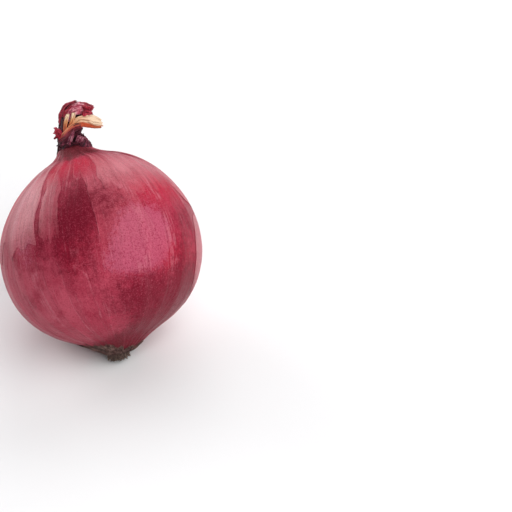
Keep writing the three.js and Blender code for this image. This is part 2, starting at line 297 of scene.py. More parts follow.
def addCamera():
    down = math.radians(view["height"])
    toCamera = Vector((0, -math.cos(down), math.sin(down)))
    upwards = Vector((0, math.sin(down), math.cos(down)))
    middle = Vector(lying["middle"])
    eye = middle + toCamera * view["distance"] + Vector((view["right"], 0, 0)) + upwards * view["up"]
    data = bpy.data.cameras.new("camera")
    data.lens = view["lens"]
    data.sensor_width = view["sensor"]
    data.clip_start = view["clipStart"]
    camera = addObject("camera", data)
    camera.location = eye * mm
    camera.rotation_euler = (math.radians(90 - view["height"]), 0, 0)
    bpy.context.scene.camera = camera


# Soft boxes: the way each stands from the bulb, how far, its size in metres and its power
softBoxes = {
    "windowBox": {"way": (0.53, -0.53, 0.62), "far": 0.95, "size": (1.6, 0.95), "power": 15},
    "backLeftBox": {"way": (-0.80, 0.60, 0.10), "far": 0.9, "size": (0.6, 0.9), "power": 8},
    "topBox": {"way": (0.24, 0.72, 0.64), "far": 0.9, "size": (0.9, 0.5), "power": 3.6},
}
# The room round them is bright behind the onion and dim in front of it
room = {
    "bright": (0.70, 0.70, 0.73),
    "dim": (0.03, 0.03, 0.033),
    "brightWay": (-0.35, 0.9, 0.12),
    "fade": (-0.25, 0.85),
}


def addLights():
    middle = Vector(lying["middle"]) * mm
    for name, box in softBoxes.items():
        data = bpy.data.lights.new(name, "AREA")
        data.shape = "RECTANGLE"
        data.size, data.size_y = box["size"]
        data.energy = box["power"]
        light = addObject(name, data)
        way = Vector(box["way"]).normalized()
        light.location = middle + way * box["far"]
        light.rotation_euler = way.to_track_quat("Z", "Y").to_euler()
    world = bpy.data.worlds.new("studio")
    world.use_nodes = True
    add, plug = nodeTools(world.node_tree)
    way = add("VectorMath", {"operation": "DOT_PRODUCT"}, Vector=add("TexCoord").outputs["Generated"])
    way.inputs[1].default_value = Vector(room["brightWay"]).normalized()
    fade = add("MapRange", {"interpolation_type": "SMOOTHSTEP"}, Value=way.outputs["Value"])
    fade.inputs[1].default_value, fade.inputs[2].default_value = room["fade"]
    shade = add("Mix", {"data_type": "RGBA"})
    for socket, value in ((0, fade.outputs[0]), (6, (*room["dim"], 1)), (7, (*room["bright"], 1))):
        plug(shade.inputs[socket], value)
    plug(world.node_tree.nodes["Background"].inputs["Color"], shade.outputs[2])
    bpy.context.scene.world = world
    bpy.context.scene.view_settings.view_transform = "Standard"


paleFloor = {"colour": (0.79, 0.79, 0.79, 1), "roughness": 0.7, "gloss": 0.1, "half": 6}


def addFloor():
    material, add, _ = startMaterial("paleFloor")
    shader = add("BsdfPrincipled", Base_Color=paleFloor["colour"], Roughness=paleFloor["roughness"])
    shader.inputs["Specular IOR Level"].default_value = paleFloor["gloss"]
    add("OutputMaterial", Surface=shader.outputs[0])
    mesh = bpy.data.meshes.new("floor")
    half = paleFloor["half"]
    corners = [(-half, -half, 0), (half, -half, 0), (half, half, 0), (-half, half, 0)]
    mesh.from_pydata(corners, [], [(0, 1, 2, 3)])
    mesh.materials.append(material)
    floor = addObject("floor", mesh)


addCamera()
addLights()
addFloor()

# The bulb's skin
bulb = {
    "radius": 40,
    "profile": [
        (0, 1.13), (4, 1.11), (8.5, 1.064), (11.7, 1.026), (15, 1.003), (19, 0.994), (30, 0.99),
        (45, 0.985), (60, 0.985), (78, 0.994), (100, 1), (117, 0.998), (130, 0.985), (141, 0.968),
        (153, 0.952), (160, 0.962), (165, 0.985), (169, 1.01), (173, 1.038), (180, 1.046),
    ],
    "ribs": 24,
    "ribHeight": 0.25,
    "ribWander": 3,
    "neckOffset": -4,
    "neckReach": 24,
    "rootOffset": -0.5,
    "rootReach": 35,
    "around": 480,
    "down": 250,
    "crowding": 0.19,  # brings the rows closer together at both ends
}


def bulbPoint(fromNeck, around, outside=0):
    band = np.maximum(np.sin(fromNeck), 0) ** 0.7
    wandering = around + math.radians(bulb["ribWander"]) * np.sin(3 * around + 2 * fromNeck)
    rib = bulb["ribHeight"] * band * np.abs(np.cos(bulb["ribs"] / 2 * wandering)) ** 3
    lobed = band * (0.006 * np.sin(2 * around) + 0.004 * np.sin(3 * around))
    lobed = lobed + 0.01 * np.sin(2 * fromNeck) * np.cos(around)
    reach = bulb["radius"] * (through(bulb["profile"], np.degrees(fromNeck)) + lobed) + rib + outside
    shift = bulb["neckOffset"] * (1 - smoothstep(fromNeck, 0, math.radians(bulb["neckReach"])))
    rootStart = math.radians(180 - bulb["rootReach"])
    shift = shift + bulb["rootOffset"] * smoothstep(fromNeck, rootStart, math.pi)
    out = reach * np.sin(fromNeck)
    return np.stack([out * np.cos(around) + shift, out * np.sin(around), reach * np.cos(fromNeck)], -1)


relief = {
    "veins": 43,
    "veinHeight": 0.05,
    "dentHeight": 0.22,
    "pleats": 31,
    "pleatHeight": 0.16,
    "rootPleats": 37,
    "rootPleatHeight": 0.06,
}


# Veins, dents and the gathers round the neck and the roots
def skinRelief(fromNeck, around):
    band = np.maximum(np.sin(fromNeck), 0)
    drift = 0.06 * np.sin(2 * around + 3 * fromNeck) + 0.03 * np.sin(5 * around - 2 * fromNeck)
    veins = relief["veinHeight"] * np.abs(np.cos(relief["veins"] * (around + drift))) ** 6
    place = np.stack([2.2 * np.cos(around), 2.2 * np.sin(around), 1.6 * fromNeck], -1)
    dents = relief["dentHeight"] * softNoise(place, 1, 5, 2)
    gather = smoothstep(fromNeck, 0.12, 0.3) * (1 - smoothstep(fromNeck, 0.35, 0.95))
    folds = np.cos(relief["pleats"] * (around + 2 * drift) + 2 * np.sin(4 * around))
    rootGather = smoothstep(fromNeck, 2.6, 2.9)
    rootFolds = np.cos(relief["rootPleats"] * (around + drift))
    height = (veins + dents) * band + relief["pleatHeight"] * gather * folds
    height = height + relief["rootPleatHeight"] * rootGather * rootFolds
    return height * smoothstep(band, 0.02, 0.14)


# Where the skin's colour changes, as (from the neck, round it, reach down, reach round, how much).
# Some of these areas are painted light and shade, as marked.
tones = {
    # Darker crimson. The spots low on the front right and under the bottom are painted shade, as from things
    # standing beside the onion.
    "deep": [
        (72, -97, 24, 17, 0.8), (58, -80, 14, 16, 0.5), (98, -106, 12, 22, 0.3), (122, -74, 12, 26, 0.45),
        (64, -70, 10, 16, 0.5), (112, -58, 10, 24, 0.4), (146, -44, 24, 34, 1), (162, -80, 12, 60, 0.9),
        (124, -20, 24, 20, 0.7), (76, -118, 12, 4, 0.5), (82, -22, 16, 8, 0.5), (92, -34, 22, 7, 0.4),
        (12, -90, 7, 60, 0.8), (62, 50, 30, 20, 0.6), (80, 150, 30, 24, 0.5), (150, 110, 24, 60, 0.6),
    ],
    # Rosier patches. The two low on the front left are painted light, lighter where light from the floor
    # falls on the skin.
    "rosy": [
        (116, -124, 22, 38, 1), (106, -146, 22, 24, 0.9), (50, -50, 14, 26, 0.8), (52, -136, 26, 16, 0.8),
        (60, 100, 24, 24, 0.6), (110, 170, 24, 30, 0.6), (112, 40, 22, 34, 0.5), (36, -40, 8, 30, 0.6),
    ],
    "bright": [
        (31, -92, 10, 26, 1), (62, -34, 10, 26, 0.7), (104, -34, 12, 14, 0.9), (76, -92, 16, 8, 0.5),
        (30, 80, 12, 70, 0.8), (90, -100, 10, 6, 0.5), (34, -116, 14, 8, 0.6), (44, -163, 24, 12, 0.9),
    ],
    # Painted highlight: the window box's soft reflection, laid into the skin's colour as a greyish lilac
    # patch
    "frost": [
        (88, -58, 22, 20, 1), (98, -76, 9, 14, 0.4), (78, -130, 24, 12, 0.5),
    ],
    "smoky": [
        (9, -85, 5, 80, 1), (12, -92, 6, 30, 0.85), (20, -103, 5, 17, 0.62), (15, -60, 4, 16, 0.4),
        (18, -130, 4, 14, 0.4), (17, 100, 6, 60, 0.5), (165, -110, 9, 50, 0.9), (168, 30, 7, 80, 0.7),
    ],
}


def toneField(spots, fromNeck, around):
    total = 0
    for down, spin, reachDown, reachRound, strength in spots:
        turned = (np.degrees(around) - spin + 180) % 360 - 180
        off = ((np.degrees(fromNeck) - down) / reachDown) ** 2 + (turned / reachRound) ** 2
        total = total + strength * np.exp(-off)
    return np.clip(total, 0, 1)


def toneFields(fromNeck, around):
    return {name: toneField(spots, fromNeck, around) for name, spots in tones.items()}


# Papery skin: mottled patches and streaks from the neck to the roots, over areas of tone
skinLook = {
    "deep": (0.135, 0.003, 0.014),
    "body": (0.30, 0.010, 0.036),
    "rosy": (0.45, 0.070, 0.108),
    "bright": (0.43, 0.009, 0.034),
    # Colour of the painted highlight
    "frost": (0.44, 0.086, 0.152),
    # Paler colour of the outer skins: partly their own, partly a painted highlight
    "pale": (0.62, 0.25, 0.275),
    "smoky": (0.115, 0.018, 0.022),
    "vein": (0.54, 0.17, 0.215),
    "darkVein": (0.08, 0.003, 0.012),
    "roughness": 0.21,
    "gloss": 0.1,
    "glossTint": (1, 0.68, 0.74, 1),
    "grain": 0.34,
    "ripple": 0.2,
}

# Streaks: how many round the bulb and down it, how far they drift, then the noise's detail.
# Patches: how many to a millimetre, then the noise's detail.
skinPattern = {
    "broad": (3.2, 1.1, 1.2, 4, 0.6),
    "fine": (22, 3.5, 1.5, 3, 0.6),
    "hair": (95, 3, 1.5, 2, 0.5),
    "fold": (8, 0.4, 1.5, 2, 0.4),
    "ripple": (9, 34, 0, 2, 0.5, 0.6),
    "wander": (0.035, 2),
    "cloud": (0.13, 4, 0.65),
    "mottle": (0.42, 4, 0.7),
    "speck": (1.9, 4, 0.8),
}


def skinMaterial(name, look, paleAndHighlight=0):
    material, add, plug = startMaterial(name)
    place, calc, noise, fitted, _, mixed, field, _ = shaderTools(add, plug)
    x, y, z = add("SeparateXYZ", Vector=place).outputs
    away = calc("SQRT", calc("ADD", calc("MULTIPLY", x, x), calc("MULTIPLY", y, y)))
    polar = calc("ARCTAN2", away, z)
    flat = add("CombineXYZ", X=x, Y=y).outputs[0]
    spoke = add("VectorMath", {"operation": "NORMALIZE"}, Vector=flat).outputs[0]
    spokeX, spokeY, _ = add("SeparateXYZ", Vector=spoke).outputs
    wander = noise(place, *skinPattern["wander"])

    def streaks(kind):
        across, down, drift, *detail = skinPattern[kind]
        x, y = calc("MULTIPLY", spokeX, across), calc("MULTIPLY", spokeY, across)
        z = calc("MULTIPLY_ADD", wander, drift, calc("MULTIPLY", polar, down))
        return noise(add("CombineXYZ", X=x, Y=y, Z=z).outputs[0], 1, *detail)

    def patches(kind):
        return noise(place, *skinPattern[kind])

    # Each goes over the colour so far: where a pattern is high or low, or in an area of tone
    def tinted(colour, pattern, low, high, share, tint):
        return mixed(fitted(pattern, low, high, 0, share), colour, look[tint])

    def toned(colour, area, share, tint):
        return mixed(calc("MULTIPLY", field(area), share), colour, look[tint])

    # An area of tone with its edge broken up by a pattern
    def broken(area, pattern, strength):
        return calc("MULTIPLY_ADD", calc("SUBTRACT", pattern, 0.5), strength, area)

    broad, fine, hair = streaks("broad"), streaks("fine"), streaks("hair")
    cloud, mottle, speck = patches("cloud"), patches("mottle"), patches("speck")

    colour = mixed(fitted(broad, 0.35, 0.7, 0.05, 0.55), look["body"], look["rosy"])
    colour = tinted(colour, broad, 0.6, 0.35, 0.35, "deep")
    colour = toned(colour, "rosy", fitted(cloud, 0.25, 0.6), "rosy")
    colour = toned(colour, "bright", fitted(mottle, 0.3, 0.55), "bright")
    # The painted highlight, its edge broken up by grain and mottling
    paintedHighlightArea = broken(broken(field("frost"), speck, 0.5), mottle, 0.9)
    colour = tinted(colour, paintedHighlightArea, 0.36, 0.62, 0.75, "frost")
    # Paler outer skin: partly its own silvery pink, partly a painted highlight; then light torn rims
    if paleAndHighlight:
        colour = toned(colour, "pale", fitted(cloud, 0.25, 0.7, paleAndHighlight * 0.6, paleAndHighlight), "pale")
        colour = toned(colour, "pale", fitted(field("rim"), 0.012, 0.002, 0, 0.6), "vein")
    for streak in (
        (fine, 0.48, 0.3, 0.22, "deep"),
        (fine, 0.6, 0.78, 0.3, "rosy"),
        (hair, 0.64, 0.72, 0.32, "vein"),
        (hair, 0.37, 0.3, 0.34, "darkVein"),
    ):
        colour = tinted(colour, *streak)
    colour = toned(colour, "bright", 0.55, "bright")
    # Long creases, light along the fold, with a painted shadow as a dark line along one side
    fold = calc("SUBTRACT", streaks("fold"), 0.5)
    kept = fitted(cloud, 0.42, 0.62)
    paintedCreaseShadow = fitted(calc("ABSOLUTE", calc("ADD", fold, 0.045)), 0.035, 0.01, 0, 0.25)
    colour = mixed(calc("MULTIPLY", paintedCreaseShadow, kept), colour, look["darkVein"])
    crease = calc("MULTIPLY", fitted(calc("ABSOLUTE", fold), 0.022, 0.006, 0, 0.45), kept)
    colour = mixed(crease, colour, look["vein"])
    # Deep areas: darker crimson, with painted shade low on the front right
    colour = tinted(colour, broken(field("deep"), mottle, 1.1), 0.15, 0.85, 0.95, "deep")
    colour = tinted(colour, broken(field("smoky"), mottle, 1.8), 0.2, 0.9, 0.85, "smoky")
    # Grain within the painted highlight
    colour = toned(colour, "frost", fitted(speck, 0.5, 0.4, 0, 0.5), "body")
    colour = toned(colour, "frost", fitted(speck, 0.52, 0.62, 0, 0.35), "vein")
    colour = tinted(colour, speck, 0.5, 0.34, 0.5, "deep")
    colour = tinted(colour, speck, 0.5, 0.66, 0.5, "rosy")

    roughness = calc("MULTIPLY_ADD", cloud, 0.22, look["roughness"])
    roughness = calc("MULTIPLY_ADD", field("smoky"), 0.35, roughness)
    roughness = calc("MULTIPLY_ADD", field("bright"), 0.12, roughness)
    height = calc("MULTIPLY", speck, look["grain"])
    ripple = streaks("ripple")
    for pattern, share in ((fine, 0.16), (hair, 0.06), (crease, 0.15), (ripple, look["ripple"])):
        height = calc("MULTIPLY_ADD", pattern, share, height)
    shader = finishMaterial(add, colour, roughness, look["gloss"], height, 0.5)
    shader.inputs["Specular Tint"].default_value = look["glossTint"]
    return material


def addBulb():
    rows, columns = bulb["down"] - 1, bulb["around"]
    even = np.linspace(0, math.pi, rows + 2)[1:-1]
    down = even - bulb["crowding"] * np.sin(2 * even)
    spin = np.linspace(-math.pi, math.pi, columns, endpoint=False)
    fromNeck, around = np.meshgrid(down, spin, indexing="ij")
    fromNeck, around = np.append(fromNeck, [0, math.pi]), np.append(around, [0, 0])
    points = bulbPoint(fromNeck, around, skinRelief(fromNeck, around))
    faces = tubeFaces(rows, columns)
    shape = points, faces, toneFields(fromNeck, around)
    addPiece("bulbSkin", shape, skinMaterial("crimsonSkin", skinLook), ["bulb"])


print("bulb")
addBulb()

# Torn pieces of the outermost skin, thin as paper and tight on the bulb. Each runs down from
# near the neck between two sides, given as (from the neck, round it) in degrees. It ends in a
# ragged edge, or sinks into the skin below it. pale is how much paler it is, from top to end,
# and paleAcross from its left side to its right. The paler colour is partly the outer skin's own
# silvery pink and partly a painted highlight, the sheen of the back-left and top boxes.
outerSkins = {
    "pieces": [
        dict(
            top=9, end=80, torn=True, rag=4, seed=11, pale=(0, 0.3, 0.9, 1.1, 1.1, 0.3),
            paleAcross=(1, 1, 1, 0.8, 0.4, 0.1, 0.4, 1, 1),
            left=[(0, -236), (90, -232)],
            right=[(17, -124), (43, -121.5), (54, -120), (64, -121), (83, -120.5)],
        ),
        dict(
            top=32, end=84, torn=False, rag=3, seed=16, pale=(0, 0.7, 0.8, 0.7, 0.4, 0),
            paleAcross=(1, 0.9, 0.4, 0.5, 0.3, 0.45),
            left=[(17, -121), (43, -119), (54, -117.5), (64, -118), (83, -118)],
            right=[(32, -110), (43, -106.5), (51, -105.3), (61, -104.6), (70, -104.8), (84, -106)],
        ),
        dict(
            top=30, end=96, torn=False, rag=3, seed=12, pale=(0, 0.3, 0.15, 0),
            left=[(24, -93), (40, -88.7), (58, -86), (78, -84), (96, -84)],
            right=[(24, -60), (96, -52)],
        ),
        dict(
            top=9, end=66, torn=False, rag=3, seed=17, lift=0.17, pale=(0, 0.2, 0.7, 0.8, 0.4, 0),
            left=[(9, -78), (38, -74.5), (57, -74.5), (70, -72)],
            right=[(9, -34), (40, -16), (66, -10)],
        ),
        dict(
            top=9, end=126, torn=True, rag=4, seed=13, pale=(0, 0.34, 0.76, 0.83, 0.83, 0.74, 0.6),
            left=[
                (9, -24), (28, -14), (42, -12), (56, -17), (70, -10),
                (77, 0), (82, -12), (95, -18), (112, -17), (128, -9),
            ],
            right=[(9, 66), (75, 50), (128, 30)],
        ),
        dict(
            top=9, end=96, torn=True, rag=5, seed=14, pale=(0, 0.4, 0.66, 0.66, 0.6),
            left=[(9, 76), (96, 66)],
            right=[(9, 96), (96, 110)],
        ),
    ],
    "thick": 0.1,
    "lift": 0.07,
    "sunk": 0.12,
    "curl": 0.032,
    "tornCurl": 0.096,
    "sway": 1.6,
    "deepShare": 0.6,
    "along": 150,
    "across": 110,
}


def outerSkin(piece):
    seed, torn = piece["seed"], piece["torn"]

    def surface(u, v):
        uneven = 1 + 0.05 * edgeNoise(v, 0.09, seed, 3) if torn else 1
        ragged = piece["rag"] * edgeNoise(v, 0.05, seed + 3, 3) * (u**3 if torn else 1)
        down = piece["top"] + (piece["end"] - piece["top"]) * u * uneven + ragged
        sway = outerSkins["sway"] * smoothstep(u, 0, 0.2)
        left = through(piece["left"], down) + sway * edgeNoise(u, 0.16, seed + 5, 3)
        right = through(piece["right"], down) + sway * edgeNoise(u, 0.16, seed + 8, 3)
        fromNeck, around = np.radians(down), np.radians(left + (right - left) * v)
        rim = np.minimum.reduce([v, 1 - v] + ([1 - u] if torn else []))
        curl = outerSkins["tornCurl" if torn else "curl"] * (1 - smoothstep(rim, 0, 0.05))
        lift = piece.get("lift", outerSkins["lift"]) + curl * (0.5 + 0.5 * edgeNoise(u + v, 0.1, 4))
        held = smoothstep(u, 0, 0.08) * (1 if torn else 1 - smoothstep(u, 0.8, 0.98))
        lift = lift * held - outerSkins["sunk"] * (1 - held)
        return bulbPoint(fromNeck, around, skinRelief(fromNeck, around) + lift)

    size = outerSkins["along"], outerSkins["across"]
    points, faces, fields = sheetMesh(surface, *size, outerSkins["thick"])
    x, y, z = points.T
    fields.update(toneFields(np.arctan2(np.hypot(x, y), z), np.arctan2(y, x)))
    fields["deep"] *= outerSkins["deepShare"]
    paleAcross = through(evenly(piece.get("paleAcross", (1, 1))), fields["across"])
    fields["pale"] = through(evenly(piece["pale"]), fields["along"]) * paleAcross
    return points, faces, fields


def addOuterSkins():
    material = skinMaterial("tornOuterSkin", dict(skinLook, ripple=0.3), paleAndHighlight=0.74)
    shape = joined([outerSkin(piece) for piece in outerSkins["pieces"]])
    addPiece("outerSkins", shape, material, ["bulb"])


print("outer skins")
addOuterSkins()

# The neck: the same middle line and widths as its solid
neck = {
    "line": [
        (-2.9, 0, 40), (-3, -0.2, 44.5), (-3, -0.4, 48.8), (-2.6, -0.5, 52.4),
        (-1.9, -0.7, 55.5), (0.7, -1, 57), (4.1, -1.2, 56.4), (7.2, -1.4, 55.3),
    ],
    "halfWidth": [6.6, 5, 4.1, 3.3, 2.7, 2.5, 2.3, 1.7],
    "halfDepth": [6.4, 4.6, 3.6, 3, 2.6, 2.3, 1.9, 1.2],
    "length": 24,
    "pleats": 7,
    "share": 0.9,
    "twist": 50,
    "rough": 0.35,
    "rings": 110,
    "around": 96,
}


def neckPoint(along, angle, off, share=1):
    u = np.clip(along, 0, 1)
    nudge = 0.001
    forward = curveThrough(neck["line"], u + nudge) - curveThrough(neck["line"], u - nudge)
    forward /= np.linalg.norm(forward, axis=-1, keepdims=True)
    back = np.array([0.0, 1, 0]) - forward * forward[..., 1:2]
    back /= np.linalg.norm(back, axis=-1, keepdims=True)
    right = np.cross(back, forward)
    wide = through(evenly(neck["halfWidth"]), u) * share + off
    deep = through(evenly(neck["halfDepth"]), u) * share + off
    middle = curveThrough(neck["line"], u) + forward * ((along - u) * neck["length"])[..., None]
    out = right * (wide * np.cos(angle))[..., None]
    return middle + out + back * (deep * np.sin(angle))[..., None]


# Withered skin: fibres along each sheet, dark between them, with pale torn edges
def witheredMaterial(name, dark, body, pale, roughness=0.5):
    material, add, plug = startMaterial(name)
    place, calc, noise, fitted, _, mixed, field, fibres = shaderTools(add, plug)
    fibre = fibres(10, 2, 0.4)
    cloud = noise(place, 0.45, 4, 0.65)
    grain = noise(place, 2.2, 3, 0.75)
    colour = mixed(fitted(cloud, 0.42, 0.72), body, pale)
    for pattern, low, high, share, tint in (
        (fibre, 0.52, 0.38, 1, dark),
        (fibre, 0.58, 0.7, 0.6, pale),
        (cloud, 0.5, 0.3, 0.7, dark),
        (grain, 0.48, 0.36, 0.8, dark),
        (grain, 0.58, 0.68, 0.5, pale),
        (field("rim"), 0.06, 0.01, 0.4, pale),
    ):
        colour = mixed(fitted(pattern, low, high, 0, share), colour, tint)
    height = calc("MULTIPLY_ADD", fibre, 0.7, calc("MULTIPLY", grain, 0.3))
    finishMaterial(add, colour, roughness, 0.16, height, 0.9)
    return material


# Dark, body and pale colour of each kind of dried skin
neckLooks = {
    "mauve": [(0.26, 0.014, 0.042), (0.56, 0.11, 0.16), (0.80, 0.44, 0.48)],
    "crimson": [(0.08, 0.002, 0.009), (0.42, 0.010, 0.032), (0.60, 0.10, 0.14)],
    "maroon": [(0.010, 0.002, 0.005), (0.040, 0.004, 0.011), (0.15, 0.018, 0.036)],
    "dusky": [(0.025, 0.003, 0.008), (0.11, 0.012, 0.030), (0.33, 0.08, 0.12)],
    "pink": [(0.07, 0.006, 0.018), (0.27, 0.045, 0.085), (0.56, 0.24, 0.30)],
}

# Dried skins wrapped round the neck: the middle and half spread of each in degrees, the part of
# the neck that it covers, and how far it lifts off from foot to end
drySkins = [
    dict(side=150, spread=42, reach=(-0.07, 0.66), lift=(0.3, 0.3, 0.5), turn=20, rag=0.03, look="maroon"),
    dict(side=66, spread=42, reach=(-0.07, 0.5), lift=(0.3, 0.3, 0.5), turn=-10, rag=0.04, look="dusky"),
    dict(side=-4, spread=32, reach=(-0.07, 0.2), lift=(0.2, 0.3, 0.6), turn=-15, rag=0.03, look="maroon"),
    dict(side=168, spread=42, reach=(0.42, 0.98), lift=(0.1, 0.5, 0.6), turn=-6, rag=0.04, look="crimson"),
    dict(side=186, spread=28, reach=(0.46, 0.7), lift=(0.4, 0.8, 1.1), turn=10, rag=0.04, look="crimson"),
    dict(side=90, spread=46, reach=(0.42, 0.92), lift=(0.1, 0.5, 0.7), turn=-6, rag=0.04, look="crimson"),
]
drySheet = {
    "along": 90, "across": 60, "thick": 0.3, "crumple": 0.34, "crumpleSize": 1.8,
    "gap": 0.25, "pleat": 0.16,
}

# Crumpled scraps on the front of the neck. Each is a sheet laid through lines that run from
# its foot to its torn end, in millimetres.
neckScraps = {
    "head": dict(look="mauve", rag=0.05, lines=[
        [
            (-4, -2.6, 54), (-3, -2.8, 57), (-1, -2.6, 59.2),
            (2.5, -2.2, 59.9), (5.3, -2.2, 58.9), (7, -2.4, 57),
        ],
        [
            (-3, -3.6, 53.5), (-2, -4, 56), (0, -4.2, 57.8),
            (3, -3.8, 58.3), (5, -3.6, 57.5), (6.5, -3.4, 56),
        ],
        [
            (-2, -4, 52.6), (-0.5, -4.5, 53.8), (1, -4.7, 54.6),
            (3.3, -4.6, 54.8), (5, -4.3, 54.6), (6, -3.8, 54.4),
        ],
    ]),
    "upperLobe": dict(look="crimson", rag=0.1, lines=[
        [(3.4, -2.6, 59.4), (5.7, -3, 58.6), (7.5, -3.2, 57.4), (8.5, -3, 56.4)],
        [(4.3, -4.2, 57.7), (5.8, -4.7, 57), (7.5, -4.7, 56.4), (8.6, -4, 55.7)],
        [(4.5, -4.4, 56.2), (5.7, -4.8, 55.9), (7, -4.8, 55.4), (8, -4.4, 55)],
    ]),
    "lowerLobe": dict(look="crimson", rag=0.1, lines=[
        [(3.9, -4.2, 55.9), (5.7, -4.8, 55.6), (7.3, -4.8, 55.2), (8.4, -4.2, 54.6)],
        [(3.8, -4.6, 55), (5.5, -5.2, 54.7), (7, -5.2, 54.3), (8.4, -4.4, 53.9)],
        [(2.8, -4.2, 54), (4.8, -4.6, 53.6), (6.5, -4.6, 53.4), (7.4, -4.2, 53.6)],
    ]),
    "outerScale": dict(look="crimson", rag=0.08, crumple=0.375, lines=[
        [
            (-5.4, -1.6, 55.5), (-5.1, -1.6, 56.6), (-4.1, -1.6, 58.2),
            (-3.4, -1.4, 59.4), (-1.3, -1.2, 60.4), (1, -0.8, 60.6),
        ],
        [
            (-4.6, -2.8, 55), (-4.1, -3, 56.2), (-3.1, -3.2, 57.5),
            (-2, -3, 58.8), (0, -2.8, 59.6), (2, -2, 60),
        ],
    ]),
    "innerScale": dict(look="crimson", rag=0.08, crumple=0.375, lines=[
        [
            (-4.7, -2.4, 54.3), (-4.1, -2.9, 55.7), (-3.1, -3.2, 57),
            (-1.8, -3.2, 58.3), (0.1, -3, 59.3), (2.4, -2.4, 59.6),
        ],
        [
            (-3.8, -3.4, 53.7), (-3.2, -3.8, 55), (-2.2, -4.1, 56.2),
            (-1.1, -4.1, 57.3), (0.8, -3.8, 58.3), (3, -3.4, 58.6),
        ],
    ]),
    "darkStrip": dict(look="maroon", rag=0.05, crumple=0.375, lines=[
        [(-6.8, -1.4, 50), (-6.6, -1.4, 52), (-5.8, -1.6, 54), (-4.5, -2, 55.7)],
        [(-5.6, -3.2, 49.3), (-5.2, -3.4, 51.3), (-4.4, -3.6, 53.5), (-3.4, -3.6, 55)],
        [(-4.2, -3.8, 49.3), (-4, -4, 51), (-3.5, -4, 53), (-2.8, -4, 54.4)],
    ]),
    "leftFlap": dict(look="crimson", rag=0.24, spikes=3.5, crumple=0.525, lines=[
        [(-5.4, -2.8, 49.6), (-6.7, -2.6, 51), (-7.8, -2.2, 52), (-9.4, -1.6, 52.4)],
        [(-5.8, -3.6, 48.3), (-7.2, -3.6, 49.4), (-8.4, -3, 50), (-9.8, -2, 50.2)],
        [(-6.1, -3.4, 46.2), (-7.6, -3.2, 46.8), (-9, -2.4, 47.2), (-10.6, -1.6, 47)],
    ]),
    "lowSpike": dict(look="maroon", rag=0.3, spikes=2, lines=[
        [(-6, -3.4, 45.6), (-7.2, -3.2, 45.6), (-8.2, -2.4, 45.8)],
        [(-6.4, -3.6, 44), (-7.6, -3.2, 44.2), (-8.9, -2.2, 44.5)],
        [(-6.6, -3.4, 42.4), (-7.6, -3, 42.6), (-8.3, -2.4, 42.8)],
    ]),
    "paleStrip": dict(look="pink", rag=0.06, crumple=0.375, lines=[
        [(-5.1, -4.6, 43.2), (-3.7, -5.5, 45.2), (-2.3, -6, 47), (-1.2, -6, 49)],
        [(-4, -5.3, 42.9), (-2.9, -6.2, 44.8), (-1.7, -6.5, 46.6), (-0.7, -6.3, 48.8)],
        [(-3.1, -4.8, 42.8), (-2.1, -5.7, 44.6), (-1.1, -6, 46.4), (-0.2, -6, 48.4)],
    ]),
    # Dark strands in the hollow under the straw flap, made near-black: partly their own colour, partly
    # painted shade of the hollow
    "hollow": dict(look="maroon", rag=0.05, lines=[
        [(-2, -3.8, 44.4), (-1.1, -4.2, 46.3), (-0.4, -4.6, 47.8), (0.3, -4.8, 49.3)],
        [(0, -4, 45.4), (0.6, -4.2, 47), (1.4, -4.4, 48.3), (2, -4.4, 49.5)],
        [(1.8, -2.8, 46.5), (1.7, -2.8, 47.5), (2.4, -2.8, 48.4), (3.1, -2.8, 49.5)],
    ]),
    # A light pink scrap where the collar catches light: partly the dried rim's own pale pink, partly a
    # painted highlight
    "knob": dict(look="pink", rag=0.12, lines=[
        [(-1, -4.6, 44.2), (-0.5, -5.2, 45.4), (0.4, -5.2, 46.3), (1.3, -4.4, 46.7)],
        [(0, -5.2, 43.7), (0.6, -6, 44.8), (1.3, -5.8, 45.5), (2.1, -4.8, 45.9)],
        [(1.1, -4.8, 43.4), (1.7, -5.4, 44.1), (2.3, -5.2, 44.7), (2.8, -4.4, 45.1)],
    ]),
    "collar": dict(look="dusky", rag=0.08, crumple=0.525, lines=[
        [(0.3, -5.4, 42), (0.9, -5.2, 43.7), (1.7, -4.4, 45), (1.9, -3, 46.5)],
        [(2.1, -4.8, 41.2), (2.7, -4.6, 42.7), (3.1, -3.8, 44.1), (2.9, -2.4, 46.2)],
        [(3.9, -3.6, 40.6), (3.9, -3.2, 41.9), (3.8, -2.4, 43.7), (3.5, -1.6, 45.4)],
        [(4.7, -1.6, 40.6), (4.5, -1.2, 41.8), (4.3, -0.6, 43.1), (3.9, 0, 44.6)],
    ]),
    # A near-black scrap in the crease round the foot of the neck: painted shade of the bunched skins
    "crease": dict(look="maroon", rag=0.06, lines=[
        [(-7.9, -3.2, 43.3), (-5.9, -4.8, 43.9), (-3.7, -5.7, 44.1), (-1.6, -5.8, 44.4), (0.2, -5.4, 44.3)],
        [(-7.8, -3.6, 41.8), (-5.8, -5.2, 42.3), (-3.6, -6.1, 42.6), (-1.4, -6.1, 43), (0.4, -5.6, 43.2)],
    ]),
    "wristband": dict(look="dusky", rag=0.08, lines=[
        [(-7.6, -2.6, 47), (-6, -4, 46.6), (-4.6, -4.8, 46.6), (-3.4, -5.2, 46.8)],
        [(-8, -2.8, 45.3), (-6.8, -4.2, 44.8), (-5, -5, 45), (-3.4, -5.3, 45.2)],
        [(-8, -3, 44), (-6.6, -4.4, 43.4), (-4.9, -5.2, 43.6), (-3, -5.5, 44)],
    ]),
}
scrapSheet = {"along": 72, "across": 56, "thick": 0.26, "crumple": 0.45, "crumpleSize": 1.5}

